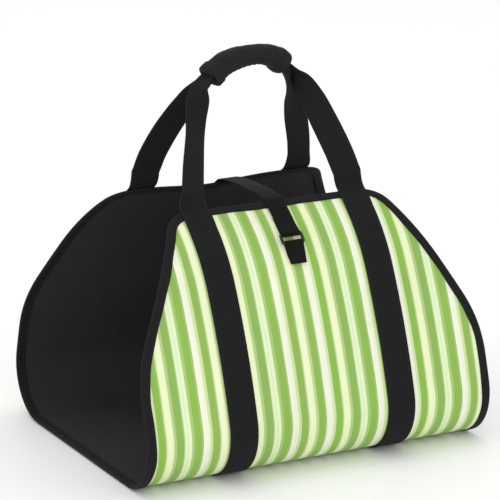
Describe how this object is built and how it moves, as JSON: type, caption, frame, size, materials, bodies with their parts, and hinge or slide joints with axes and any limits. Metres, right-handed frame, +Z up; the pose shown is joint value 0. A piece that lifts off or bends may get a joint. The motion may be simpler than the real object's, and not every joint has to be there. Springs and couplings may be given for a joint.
{
  "type": "log carrier",
  "caption": "Soft firewood carrier: a striped canvas sheet bent into a U with open ends, bound edges, webbing loops joined in one padded grip and a narrow strap with a ring closing the mouth.",
  "frame": {"origin": "on the surface the carrier stands on, under the middle of its bounding box", "axes": "+Z up, X along the carried wood through the two open ends, the front wall with the ring faces -Y"},
  "size_m": [0.4626, 0.3842, 0.4803],
  "materials": {
    "striped_canvas": "plain weave canvas with green, cream and white stripes",
    "lining_cloth": "black woven lining",
    "binding_tape": "black woven tape",
    "webbing": "black ribbed webbing",
    "grip_cloth": "black padded cloth",
    "narrow_webbing": "black ribbed webbing",
    "ring_plastic": "black moulded plastic"
  },
  "bodies": {
    "root": {"outer_panel": "striped_canvas", "lining": "lining_cloth", "edge_binding": "binding_tape", "webbing_front": "webbing", "webbing_back": "webbing", "handle_grip": "grip_cloth", "closing_strap": "narrow_webbing", "buckle_tab": "narrow_webbing", "buckle_ring": "ring_plastic"}
  },
  "joints": []
}
